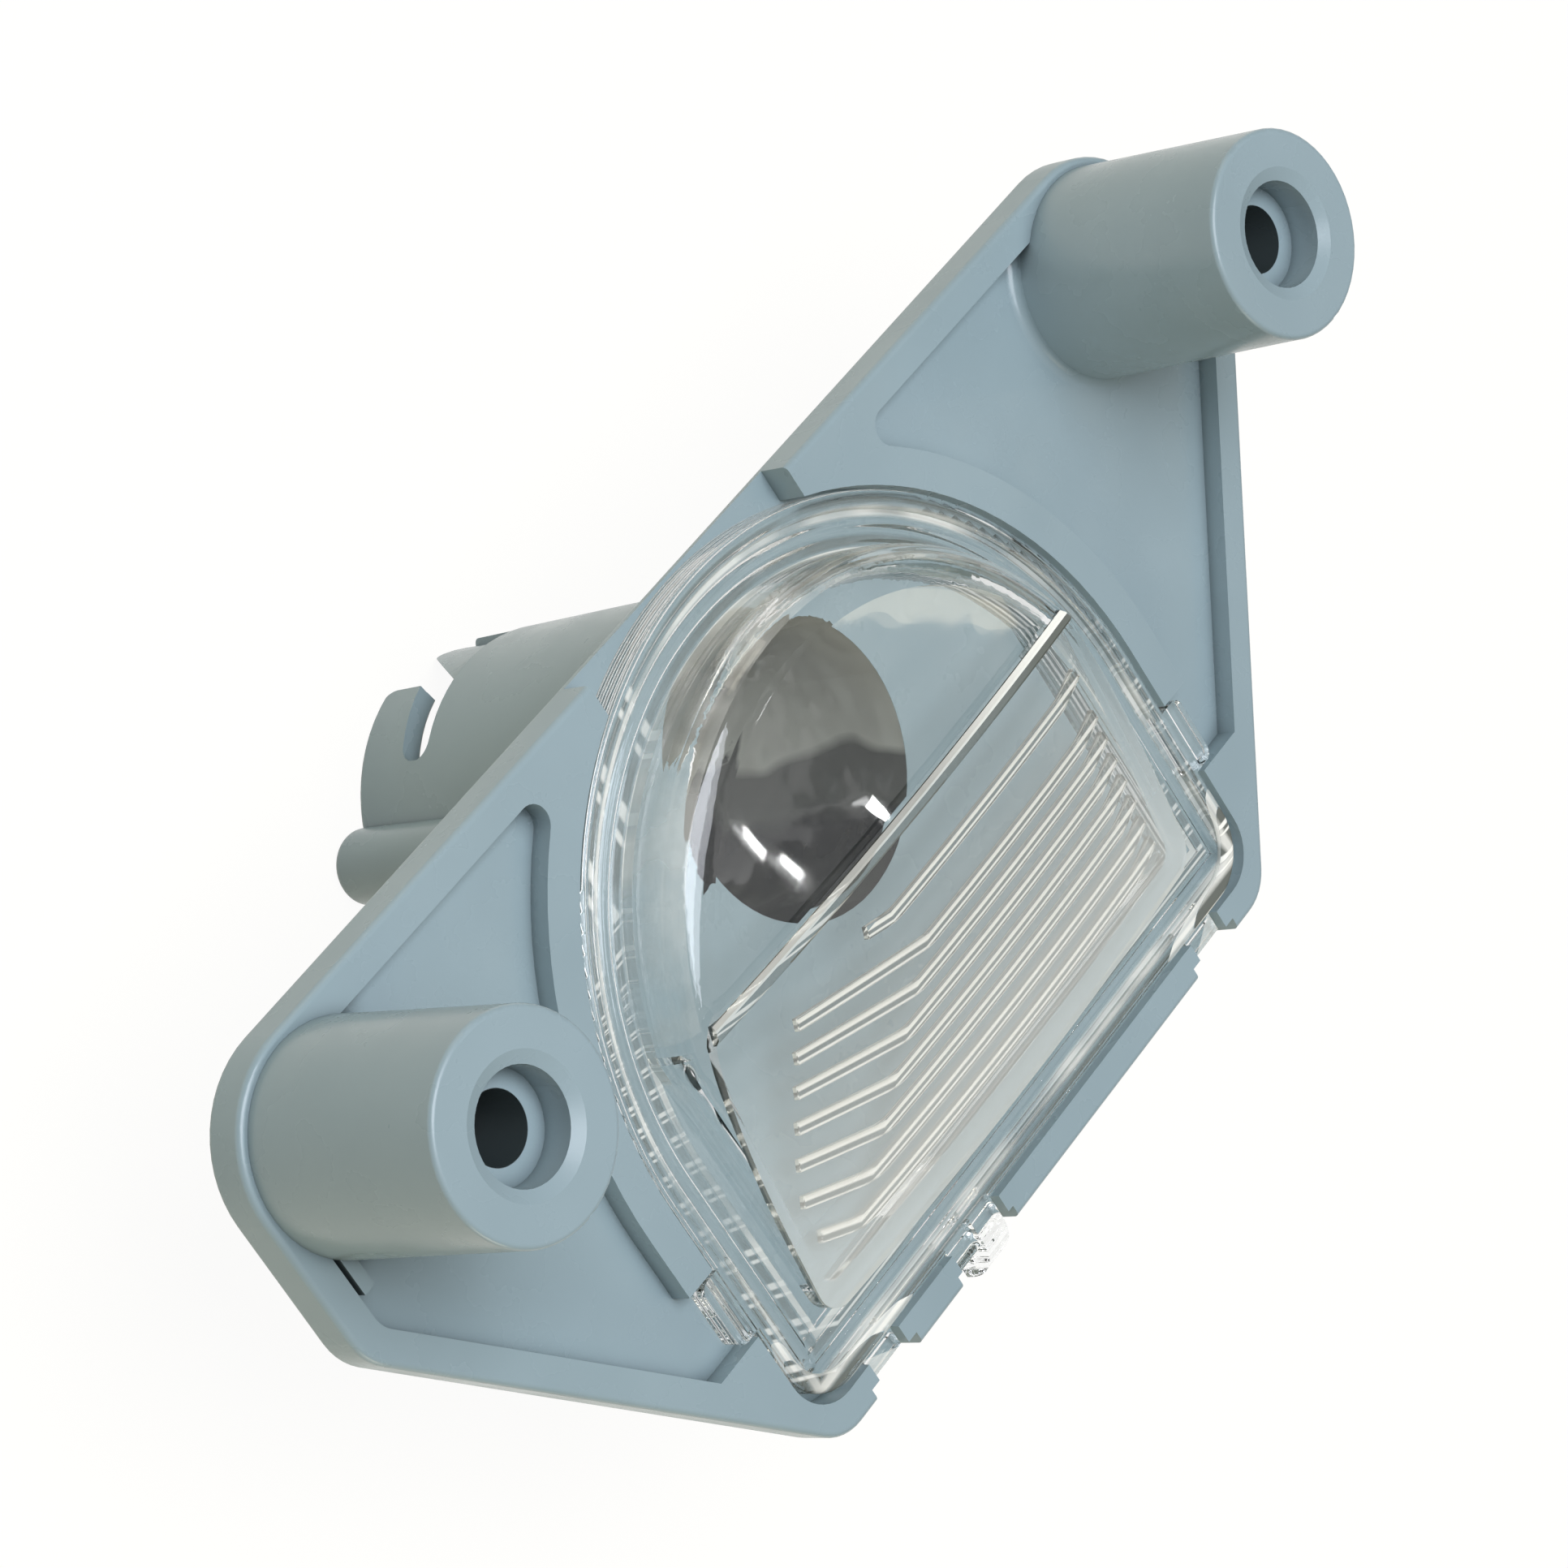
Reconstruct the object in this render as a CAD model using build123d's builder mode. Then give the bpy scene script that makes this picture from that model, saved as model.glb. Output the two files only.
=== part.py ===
from build123d import *
from math import atan2, cos, degrees, radians, sin, sqrt, tan
import os

# Number plate lamp: a grey moulded housing and the clear fluted lens that presses into it.
# Millimetres. The origin lies midway between the two screw holes, on the back of the plate.
# +X runs along the row of screws, +Z points out of the lens side along the screws, and the
# long straight edge of the plate faces +Y. The bulb collar reaches back towards -Z.

# Screw bosses
screw_spacing = 82.0
boss_length = 15.3
boss_end_radius = 6.5
boss_draft = 0.8
boss_edge_fillet = 0.35
boss_root_fillet = 0.7
screw_hole_radius = 2.1
counterbore_radius = 3.3
counterbore_depth = 2.5
countersink_radius = 4.1
countersink_depth = 0.35

# Plate
plate_thickness = 2.85
plate_end_radius = 7.3
plate_end_drop = 10.0
plate_depth = 37.8
slant_angle = 50.2
slant_corner_radius = 4.0
foot_corner_radius = 3.6
plate_edge_fillet = 0.4

# Three-cornered pockets either side of the lens
rim_width = 2.1
pocket_floor = 1.35
pocket_end_height = 9.3
pocket_corner_radius = 1.2
platform_width = 2.4
web_thickness = 0.9
web_reach = 7.2
web_offset = 4.4

# Lens seat
seat_radius = 26.2
seat_corner_radius = 3.2
seat_floor = 0.65
top_opening_half_width = 10.5
top_opening_drop = 4.5

# Gaps in the seat wall for the ears, feet and snap hook of the lens
ear_gap_width = 5.2
notch_depth = 0.85
foot_notch_width = 5.0
foot_notch_inset = 7.0
hook_notch_width = 6.4
foot_channel_floor = 0.95

# Collar for the bulb holder
collar_y = -7.0
collar_length = 27.0
collar_bore_radius = 9.25
collar_end_wall = 1.3
collar_root_wall = 2.25
collar_edge_fillet = 0.3

# Twist-lock slots in the end of the collar. Angles run from +X towards +Y.
slot_count = 2
slot_height = 3.3
slot_end_height = 2.4
slot_end_radius = 1.1
slot_to_end = 6.7
slot_closed_angle = 129.0
hook_tip_angle = 99.0
lead_in_angle = 75.0
hook_tip_radius = 1.1
tab_angle = 45.0
tab_step = 0.5
tab_tip_radius = 1.2

# Round lug along the collar
lug_radius = 2.4
lug_angle = 161.0
lug_offset = 0.6
lug_end_fillet = 0.6

# Lens flange
lens_clearance = 0.2
seat_clearance = 0.05
foot_clearance = 0.15
flange_thickness = 1.55
flange_corner_radius = 4.0
bead_width = 1.2
bead_height = 0.5
bead_edge_fillet = 0.4
ear_reach = 1.6
ear_clearance = 0.25
ear_corner_radius = 0.7
foot_width = 3.0

# Snap hook
hook_width = 2.3
hook_x = -7.3
hook_thickness = 2.9
hook_barb = 0.5
hook_barb_height = 0.9
stop_width = 2.5
stop_reach = 0.3
stop_gap = 0.3

# Lens body
dome_inset = 3.5
body_side_inset = 4.6
body_bottom_inset = 3.8
body_corner_radius = 1.8
body_height = 4.3
crown_height = 1.0
ridge_above_centre = 8.0
ridge_width = 1.1
ridge_height = 0.3
face_fall = 3.5
lens_wall = 1.4
dome_edge_radius = 2.9

# Flutes on the inside of the slanted face
flute_pitch = 1.65
flute_margin = 2.0
first_flute_drop = 8.2
top_flute_drop = 5.0
top_flute_bend_x = -3.4
top_flute_left_x = -5.8
flute_width = 0.8
flute_height = 0.45
flute_root = 0.1
flute_bend_radius = 5.0
flute_bend_x = -1.8
flute_bend_step = -2.3
flute_left_x = -13.4
flute_left_step = -1.1
flute_left_inset = 2.7
flute_bend_room = 2.0
flute_bend_angle = 16.0
flute_bend_angle_step = 2.0
flute_right_inset = 2.2
flute_right_bend_length = 2.4
flute_right_rise = 0.6

# Small overlap that lets a cut or a rib pass through a face
through = 0.5

# Heights worked out from the sizes above
rim_z = plate_thickness
boss_end_z = rim_z + boss_length
pocket_z = pocket_floor
seat_z = seat_floor
foot_channel_z = foot_channel_floor
flange_bottom_z = seat_z + seat_clearance
flange_top_z = flange_bottom_z + flange_thickness
bead_top_z = flange_top_z + bead_height
body_top_z = flange_top_z + body_height + crown_height

# Places on the plate
boss_x = screw_spacing / 2
boss_foot_radius = boss_end_radius + (boss_end_z - pocket_z) * tan(radians(boss_draft)) + boss_root_fillet
plate_end_x = boss_x + plate_end_radius
slant_run = (plate_depth - plate_end_drop) / tan(radians(slant_angle))
pocket_end_y = pocket_end_height - plate_depth
ear_top_y = pocket_end_y + ear_gap_width
notch_y = notch_depth - plate_depth

# Seat: its round top reaches the straight edge of the plate, its bottom stands off by the rim
arch_centre_y = plate_end_radius - seat_radius
seat_bottom_y = rim_width - plate_depth
platform_radius = seat_radius + platform_width
foot_notch_x = seat_radius - foot_notch_inset

# Collar
collar_end_radius = collar_bore_radius + collar_end_wall
collar_root_radius = collar_bore_radius + collar_root_wall
lug_distance = collar_end_radius + lug_offset
slot_middle_angle = (slot_closed_angle + lead_in_angle) / 2

# Lens, which follows the seat
flange_radius = seat_radius - lens_clearance
flange_bottom_y = seat_bottom_y + lens_clearance
dome_radius = flange_radius - dome_inset
body_half_width = flange_radius - body_side_inset
body_bottom_y = flange_bottom_y + body_bottom_inset
ridge_y = arch_centre_y + ridge_above_centre
face_angle = atan2(face_fall, ridge_y - body_bottom_y)
crown_radius = (body_half_width**2 + crown_height**2) / (2 * crown_height)
crown_turn = degrees(atan2(dome_radius + through, crown_radius))
foot_root_y = flange_bottom_y + bead_width / 2
foot_length = foot_root_y - notch_y

# Snap hook and its stop, with the gap and the notch that clear both
stop_x = hook_x - hook_width / 2 - stop_gap - stop_width / 2
hook_gap_left = stop_x - stop_width / 2 - foot_clearance
hook_gap_right = hook_x + hook_width / 2 + foot_clearance
hook_gap_width = hook_gap_right - hook_gap_left
hook_gap_x = (hook_gap_left + hook_gap_right) / 2

# Flutes: as many as the slanted face has room for
first_flute_y = ridge_y - first_flute_drop
flute_count = int((first_flute_y - body_bottom_y - flute_margin) / flute_pitch) + 1
flute_left_limit = flute_left_inset - body_half_width
flute_right_x = body_half_width - flute_right_inset
flute_right_bend_x = flute_right_x - flute_right_bend_length

os.makedirs("parts", exist_ok=True)


def plate_outline(inset):
    """Outline of the plate, moved inwards by the inset."""
    with BuildSketch(mode=Mode.PRIVATE) as face:
        with BuildLine():
            Line((0, plate_end_radius), (boss_x, plate_end_radius))
            CenterArc((boss_x, 0), plate_end_radius, 0, 90)
            Polyline(
                (plate_end_x, 0),
                (plate_end_x, -plate_end_drop),
                (plate_end_x - slant_run, -plate_depth),
                (0, -plate_depth),
            )
            mirror(about=Plane.YZ)
        make_face()
        fillet(face.vertices().filter_by_position(Axis.Y, -plate_end_drop - 1, -plate_end_drop + 1),
               slant_corner_radius)
        fillet(face.vertices().group_by(Axis.Y)[0], foot_corner_radius)
        if inset:
            offset(amount=-inset, kind=Kind.INTERSECTION)
    return face.sketch


def arch(radius, half_width, bottom_y, corner_radius):
    """Round-topped outline about the middle of the lens, with a straight bottom edge."""
    spring_y = arch_centre_y + sqrt(max(radius**2 - half_width**2, 0))
    with BuildSketch(mode=Mode.PRIVATE) as face:
        with BuildLine():
            ThreePointArc((half_width, spring_y), (0, arch_centre_y + radius), (-half_width, spring_y))
            Polyline(
                (-half_width, spring_y),
                (-half_width, bottom_y),
                (half_width, bottom_y),
                (half_width, spring_y),
            )
        make_face()
        fillet(face.vertices().group_by(Axis.Y)[0], corner_radius)
    return face.sketch


def pocket_outline():
    """Both pockets: inside the rim, outside the platform, above the pocket's end wall."""
    with BuildSketch(mode=Mode.PRIVATE) as face:
        add(plate_outline(rim_width))
        with Locations((0, pocket_end_y)):
            Rectangle(2 * plate_end_x, plate_depth, align=(Align.CENTER, Align.MAX), mode=Mode.SUBTRACT)
        add(arch(platform_radius, platform_radius, pocket_end_y - through, through / 2), mode=Mode.SUBTRACT)
        top_corners = face.vertices().group_by(Axis.Y)[-1].sort_by(lambda corner: abs(corner.X))[:2]
        fillet(top_corners, pocket_corner_radius)
    return face.sketch


def slot_outline():
    """One twist-lock slot seen square on, with its lead-in, its hook and its narrowing closed end."""
    def across(angle):
        return collar_end_radius * sin(radians(angle - slot_middle_angle))

    closed = across(slot_closed_angle)
    tip = across(hook_tip_angle)
    lead_in = across(lead_in_angle)
    tab_tip_end = lead_in - 2 * tab_tip_radius
    with BuildSketch(mode=Mode.PRIVATE) as face:
        with BuildLine():
            Polyline(
                (closed, slot_to_end),
                (tip, slot_to_end),
                (lead_in, 0),
                (tab_tip_end, 0),
                (tab_tip_end, -through),
                (tip + hook_tip_radius, -through),
                (tip + hook_tip_radius, 0),
            )
            CenterArc((tip + hook_tip_radius, hook_tip_radius), hook_tip_radius, 180, 90)
            Polyline(
                (tip, hook_tip_radius),
                (tip, slot_to_end - slot_height),
                (closed, slot_to_end - slot_end_height),
                (closed, slot_to_end),
            )
        make_face()
        fillet(face.vertices().group_by(Axis.X)[-1], slot_end_radius)
        fillet(face.vertices().sort_by_distance((lead_in, 0))[0], tab_tip_radius)
    return face.sketch


def tab_step_outline():
    """Sector that is taken off the outside of the collar beside one slot's lead-in."""
    reach = 2 * collar_root_radius
    with BuildSketch(mode=Mode.PRIVATE) as face:
        Circle(collar_root_radius + through)
        Circle(collar_end_radius - tab_step, mode=Mode.SUBTRACT)
        with BuildLine():
            PolarLine((0, 0), reach, hook_tip_angle - tab_angle)
            PolarLine((0, 0), reach, hook_tip_angle)
            CenterArc((0, 0), reach, hook_tip_angle - tab_angle, tab_angle)
        make_face(mode=Mode.INTERSECT)
    return face.sketch


def crown_plane():
    """Upright plane through the middle line of the crown, turned to where the crown's arc begins."""
    lean = radians(-crown_turn)
    return Plane(
        origin=(0, 0, body_top_z - crown_radius),
        x_dir=(0, 1, 0),
        z_dir=(cos(lean), 0, -sin(lean)),
    )


def crowned(outline):
    """Outline of (y, height above the ridge's middle) points, swept along the crown's arc."""
    with BuildPart(mode=Mode.PRIVATE) as swept:
        with BuildSketch(crown_plane()):
            Polygon(*[(y, crown_radius + height) for y, height in outline], align=None)
        revolve(axis=Axis((0, 0, body_top_z - crown_radius), (0, 1, 0)), revolution_arc=2 * crown_turn)
    return swept.part


def lens_body(inset, bottom_z):
    """The hollow or the outside of the raised lens body, moved inwards by the inset."""
    edge_radius = dome_edge_radius - inset
    far = 2 * dome_radius
    above = crown_height + edge_radius
    fold_y = ridge_y - inset * tan(face_angle / 2)
    with BuildPart(mode=Mode.PRIVATE) as body:
        with BuildSketch(Plane.XY.offset(bottom_z)):
            add(arch(dome_radius - inset, body_half_width - inset, body_bottom_y + inset,
                     body_corner_radius - inset / 2))
        extrude(amount=body_top_z + above - bottom_z)
        cap = crowned([(far, -inset), (far, 2 * above), (-far, 2 * above), (-far, -inset)])
        add(cap, mode=Mode.SUBTRACT)
        fillet(body.faces().sort_by(Axis.Z)[-1].edges(), edge_radius)
        face_end = (-far, -inset - (far + fold_y) * tan(face_angle))
        add(crowned([(fold_y, -inset), (fold_y, above), (-far, above), face_end]), mode=Mode.SUBTRACT)
    return body.part


def flute_outline(bend_x, left_x, y, angle):
    """One flute seen square on: straight, then bent up at both ends."""
    with BuildSketch(mode=Mode.PRIVATE) as face:
        with BuildLine():
            FilletPolyline(
                (flute_right_x, y + flute_right_rise),
                (flute_right_bend_x, y),
                (bend_x, y),
                (left_x, y + (bend_x - left_x) * tan(radians(angle))),
                radius=flute_bend_radius,
            )
        trace(line_width=flute_width)
    return face.sketch


def flute_ribs(places):
    """Ribs for all the flutes, between two layers that follow the inside of the body."""
    with BuildPart(mode=Mode.PRIVATE) as ribs:
        with BuildSketch(Plane.XY.offset(flange_bottom_z)):
            for place in places:
                add(flute_outline(*place))
        extrude(amount=body_top_z - flange_bottom_z)
        add(lens_body(lens_wall - flute_root, flange_bottom_z), mode=Mode.INTERSECT)
        add(lens_body(lens_wall + flute_height, flange_bottom_z), mode=Mode.SUBTRACT)
    return ribs.part


def ridge_bead():
    """Low bead along the ridge, ending in the rounded edges of the body."""
    inset = dome_edge_radius / 2
    with BuildPart(mode=Mode.PRIVATE) as bead:
        add(crowned([
            (ridge_y, -2 * ridge_height),
            (ridge_y, 0),
            (ridge_y - ridge_width / 4, ridge_height),
            (ridge_y - 3 * ridge_width / 4, ridge_height),
            (ridge_y - ridge_width, 0),
            (ridge_y - ridge_width, -2 * ridge_height),
        ]))
        with BuildSketch(Plane.XY.offset(flange_top_z)):
            add(arch(dome_radius - inset, body_half_width - inset, body_bottom_y, body_corner_radius))
        extrude(amount=body_top_z, mode=Mode.INTERSECT)
    return bead.part


def flange_bead():
    """Rounded bead round the edge of the lens flange."""
    inner_radius = flange_radius - bead_width
    inner_corner_radius = flange_corner_radius - bead_width
    with BuildPart(mode=Mode.PRIVATE) as bead:
        with BuildSketch(Plane.XY.offset(flange_top_z - through)):
            add(arch(flange_radius, flange_radius, flange_bottom_y, flange_corner_radius))
            add(arch(inner_radius, inner_radius, flange_bottom_y + bead_width, inner_corner_radius),
                mode=Mode.SUBTRACT)
        extrude(amount=bead_height + through)
        fillet(bead.faces().sort_by(Axis.Z)[-1].edges(), bead_edge_fillet)
    return bead.part


def round_lug():
    """Lug that stands along the collar, with its end rounded."""
    with BuildPart(mode=Mode.PRIVATE) as lug:
        Cylinder(lug_radius, collar_length + through, align=(Align.CENTER, Align.CENTER, Align.MIN))
        fillet(lug.edges().group_by(Axis.Z)[0], lug_end_fillet)
    return lug.part


def boss_roots():
    """Hollow fillet round the root of each boss, kept inside the outline of the plate."""
    fillet_top_z = pocket_z + boss_root_fillet
    with BuildPart(mode=Mode.PRIVATE) as roots:
        with Locations((-boss_x, 0, pocket_z), (boss_x, 0, pocket_z)):
            Cylinder(boss_foot_radius, boss_root_fillet, align=(Align.CENTER, Align.CENTER, Align.MIN))
        with Locations((-boss_x, 0, fillet_top_z), (boss_x, 0, fillet_top_z)):
            Torus(boss_foot_radius, boss_root_fillet, mode=Mode.SUBTRACT)
        with BuildSketch():
            add(plate_outline(plate_edge_fillet))
        extrude(amount=boss_end_z, mode=Mode.INTERSECT)
    return roots.part


# Housing: one moulding, with the plate, the bosses and the collar
with BuildPart() as housing:
    with BuildSketch():
        add(plate_outline(0))
    extrude(amount=plate_thickness)
    fillet(housing.faces().filter_by(Axis.Z).edges(), plate_edge_fillet)

    # Collar on the back of the plate, a little narrower towards its end
    with BuildSketch(Plane.YZ) as collar:
        Polygon(
            (collar_y, through),
            (collar_y + collar_root_radius, through),
            (collar_y + collar_root_radius, 0),
            (collar_y + collar_end_radius, -collar_length),
            (collar_y, -collar_length),
            align=None,
        )
        fillet(collar.vertices().group_by(Axis.Y)[0].sort_by(Axis.X)[-1], collar_edge_fillet)
    revolve(axis=Axis((0, collar_y, 0), (0, 0, 1)))

    # Round lug along the outside of the collar
    with Locations((0, collar_y, -collar_length)):
        with PolarLocations(lug_distance, 1, lug_angle):
            add(round_lug())

    # Pockets either side of the lens
    with BuildSketch(Plane.XY.offset(rim_z)):
        add(pocket_outline())
    extrude(amount=pocket_z - rim_z, mode=Mode.SUBTRACT)

    # Bosses, standing on the pocket floors
    with BuildSketch(Plane.XY.offset(boss_end_z)):
        with Locations((-boss_x, 0), (boss_x, 0)):
            Circle(boss_end_radius)
    extrude(amount=pocket_z - through - boss_end_z, taper=-boss_draft)
    fillet(housing.edges().group_by(Axis.Z)[-1], boss_edge_fillet)

    # Fillet round each boss root
    add(boss_roots())

    # Small webs beside the boss roots
    with BuildSketch(Plane.XY.offset(pocket_z - through)):
        with Locations((-boss_x - web_offset, 0), (boss_x + web_offset, 0)):
            Rectangle(web_thickness, web_reach, align=(Align.CENTER, Align.MAX))
    extrude(amount=rim_z - pocket_z + through)

    # Seat for the lens, open through the rim at the top of the arch
    with BuildSketch(Plane.XY.offset(rim_z)):
        add(arch(seat_radius, seat_radius, seat_bottom_y, seat_corner_radius))
        with Locations((0, plate_end_radius + through)):
            Rectangle(2 * top_opening_half_width, top_opening_drop, align=(Align.CENTER, Align.MAX))
        with Locations((hook_gap_x, seat_bottom_y + through)):
            Rectangle(hook_gap_width, plate_depth, align=(Align.CENTER, Align.MAX))
    extrude(amount=seat_z - rim_z, mode=Mode.SUBTRACT)

    # Gaps in the platform for the ears of the lens
    with BuildSketch(Plane.XY.offset(rim_z)):
        with Locations((0, ear_top_y)):
            Rectangle(2 * (platform_radius + through), ear_top_y - pocket_end_y,
                      align=(Align.CENTER, Align.MAX))
    extrude(amount=pocket_z - rim_z, mode=Mode.SUBTRACT)

    # Channels in the seat wall for the feet of the lens
    with BuildSketch(Plane.XY.offset(rim_z)):
        with Locations((-foot_notch_x, seat_bottom_y + through), (foot_notch_x, seat_bottom_y + through)):
            Rectangle(foot_width + 2 * foot_clearance, plate_depth, align=(Align.CENTER, Align.MAX))
    extrude(amount=foot_channel_z - rim_z, mode=Mode.SUBTRACT)

    # Notches in the bottom edge of the plate
    with BuildSketch(Plane.XY.offset(rim_z)):
        with Locations((-foot_notch_x, notch_y), (foot_notch_x, notch_y)):
            Rectangle(foot_notch_width, plate_depth, align=(Align.CENTER, Align.MAX))
        with Locations((hook_gap_x, notch_y)):
            Rectangle(hook_notch_width, plate_depth, align=(Align.CENTER, Align.MAX))
    extrude(amount=-2 * plate_thickness, mode=Mode.SUBTRACT)

    # Bore for the bulb holder, through the collar and the floor of the seat
    with BuildSketch(Plane.XY.offset(-collar_length)):
        with Locations((0, collar_y)):
            Circle(collar_bore_radius)
    extrude(amount=collar_length + seat_z + through, mode=Mode.SUBTRACT)

    # Twist-lock slots, with the thinner tab beside each lead-in
    for slot in range(slot_count):
        turn = 360 * slot / slot_count
        facing = radians(slot_middle_angle + turn)
        with BuildSketch(
            Plane(
                origin=(0, collar_y, -collar_length),
                x_dir=(-sin(facing), cos(facing), 0),
                z_dir=(cos(facing), sin(facing), 0),
            )
        ):
            add(slot_outline())
        extrude(amount=collar_root_radius + lug_radius, mode=Mode.SUBTRACT)
        with BuildSketch(Plane((0, collar_y, -collar_length)).rotated((0, 0, turn))):
            add(tab_step_outline())
        extrude(amount=slot_to_end, mode=Mode.SUBTRACT)

    # Stepped screw holes, right through the bosses
    with Locations((-boss_x, 0, boss_end_z), (boss_x, 0, boss_end_z)):
        CounterBoreHole(screw_hole_radius, counterbore_radius, counterbore_depth)
        with Locations((0, 0, -countersink_depth / 2)):
            Cone(counterbore_radius, countersink_radius, countersink_depth, mode=Mode.SUBTRACT)

housing.part.label = "housing"
export_step(housing.part, "parts/housing.step")

# Lens: one clear moulding, with its flange, its hollow body and its flutes
with BuildPart() as lens:
    with BuildSketch(Plane.XY.offset(flange_bottom_z)):
        add(arch(flange_radius, flange_radius, flange_bottom_y, flange_corner_radius))
    extrude(amount=flange_thickness)

    # Raised bead round the edge of the flange
    add(flange_bead())

    # Ears, in the gaps of the platform
    with BuildSketch(Plane.XY.offset(bead_top_z)):
        with Locations((0, (ear_top_y + pocket_end_y) / 2)):
            RectangleRounded(2 * (flange_radius + ear_reach), ear_top_y - pocket_end_y - 2 * ear_clearance,
                             ear_corner_radius)
            Rectangle(2 * (flange_radius - bead_width), platform_radius, mode=Mode.SUBTRACT)
    extrude(amount=pocket_z + foot_clearance - bead_top_z)

    # Feet, in the channels of the seat wall
    with BuildSketch(Plane.XY.offset(flange_top_z)):
        with Locations((-foot_notch_x, notch_y), (foot_notch_x, notch_y)):
            Rectangle(foot_width, foot_length, align=(Align.CENTER, Align.MIN))
    extrude(amount=foot_channel_z + foot_clearance - flange_top_z)

    # Raised body with the ridge across it
    add(lens_body(0, flange_bottom_z))
    add(ridge_bead())

    # Hollow inside the body
    add(lens_body(lens_wall, flange_bottom_z - through), mode=Mode.SUBTRACT)

    # Snap hook that reaches over the bottom edge of the plate and catches behind it
    hook_face_y = notch_y - foot_clearance
    hook_back_y = hook_face_y - hook_thickness
    hook_shoulder = (hook_back_y, flange_top_z - hook_thickness)
    with BuildSketch(Plane.YZ.offset(hook_x)):
        with BuildLine():
            Polyline(
                (hook_face_y, flange_top_z),
                (foot_root_y, flange_top_z),
                (foot_root_y, seat_z + foot_clearance),
                (hook_face_y, seat_z + foot_clearance),
                (hook_face_y, -foot_clearance),
                (hook_face_y + hook_barb, -foot_clearance),
                (hook_face_y, -foot_clearance - hook_barb_height),
                (hook_back_y, -foot_clearance - hook_barb_height),
                hook_shoulder,
            )
            RadiusArc(hook_shoulder, (hook_face_y, flange_top_z), hook_thickness)
        make_face()
    extrude(amount=hook_width / 2, both=True)

    # Stop beside the hook
    with BuildSketch(Plane.XY.offset(flange_top_z)):
        with Locations((stop_x, notch_y - stop_reach)):
            Rectangle(stop_width, foot_length + stop_reach, align=(Align.CENTER, Align.MIN))
    extrude(amount=seat_z + foot_clearance - flange_top_z)

    # Flutes on the inside of the slanted face, between two layers that follow its crown
    flutes = [(top_flute_bend_x, top_flute_left_x, ridge_y - top_flute_drop, flute_bend_angle)]
    for flute in range(flute_count):
        left_x = max(flute_left_x + flute * flute_left_step, flute_left_limit)
        bend_x = max(flute_bend_x + flute * flute_bend_step, left_x + flute_bend_room)
        y = first_flute_y - flute * flute_pitch
        flutes.append((bend_x, left_x, y, flute_bend_angle + flute * flute_bend_angle_step))
    add(flute_ribs(flutes))

lens.part.label = "lens"
export_step(lens.part, "parts/lens.step")
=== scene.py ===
from math import pi

import bmesh
import bpy
from bpy.props import FloatProperty, FloatVectorProperty, IntProperty, PointerProperty
from mathutils import Matrix, Vector


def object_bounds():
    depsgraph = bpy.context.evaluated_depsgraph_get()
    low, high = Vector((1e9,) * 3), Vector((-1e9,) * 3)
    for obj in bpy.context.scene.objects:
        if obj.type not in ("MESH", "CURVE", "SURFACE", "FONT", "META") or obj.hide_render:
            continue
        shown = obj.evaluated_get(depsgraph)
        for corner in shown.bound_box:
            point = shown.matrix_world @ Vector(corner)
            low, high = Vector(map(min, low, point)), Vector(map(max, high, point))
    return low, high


bl_info = {
    "name": "Number plate lamp",
    "version": (1, 0, 0),
    "blender": (4, 5, 0),
    "location": "View3D > Sidebar > Plate lamp",
    "description": "Finishes for a number plate lamp with a fluted clear lens, on a pale stage",
    "category": "Object",
}

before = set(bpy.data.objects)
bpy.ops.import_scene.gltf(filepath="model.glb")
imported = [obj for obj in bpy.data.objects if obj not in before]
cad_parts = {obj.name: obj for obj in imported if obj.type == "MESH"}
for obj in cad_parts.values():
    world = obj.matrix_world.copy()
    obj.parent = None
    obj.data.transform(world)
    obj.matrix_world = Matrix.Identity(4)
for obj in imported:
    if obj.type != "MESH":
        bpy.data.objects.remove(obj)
cad_low, cad_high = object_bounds()

MM_PER_METRE = 1000.0
WHITE = (1.0, 1.0, 1.0)

# The photograph's camera, fitted to the outline of the plate and the bosses
PHOTO_PIXELS = 1932
SENSOR = 36.0
CAMERA_PLACE = (-0.18466, 0.11603, 0.23804)
CAMERA_RIGHT = (0.53559, -0.50454, 0.67718)
CAMERA_UP = (0.62661, 0.77503, 0.08186)
CAMERA_PIXELS_FOCAL = 6744.5
CAMERA_CLIP = (0.01, 20.0)

# Lamps: name, property that holds the power, place, length and width, colour, and direction of the length
ALONG_X = (1.0, 0.0, 0.0)
ALONG_BAND = (0.0517, -0.0188, -0.0456)
LAMPS = (
    ("key_lamp", "key_power", (-0.10, 0.25, 0.75), (0.55, 0.55), (0.93, 0.97, 1.05), ALONG_X),
    ("fill_lamp", "fill_power", (0.30, 0.66, 0.26), (0.22, 0.22), (1.0, 0.94, 0.80), ALONG_X),
    ("low_lamp", "low_power", (-0.20, -0.26, 0.05), (0.16, 0.10), (1.0, 0.92, 0.70), ALONG_X),
    ("band", "band_power", (0.338, -0.184, 0.338), (0.075, 0.012), (1.0, 0.86, 0.62), ALONG_BAND),
)

# Small lamps that the top of the dome mirrors as glints
GLINT_PLACES = ((0.2355, -0.1986, 0.3977), (0.2410, -0.2040, 0.3935), (0.2794, -0.2062, 0.3715))
GLINT_SIZE = (0.0035, 0.0035)

# Colours of the surroundings, by the height of a direction
SKY_STOPS = ((0.02, (0.28, 0.26, 0.17)), (0.35, (0.34, 0.32, 0.26)), (0.75, (0.96, 0.94, 0.85)))

# Places on the housing, in metres, as in the model
BORE_Y = -0.0070
BORE_RADIUS = 0.00925
SEAT_Z = 0.00065
SCREW_X = 0.041
SCREW_HOLE_RADIUS = 0.00213

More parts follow.
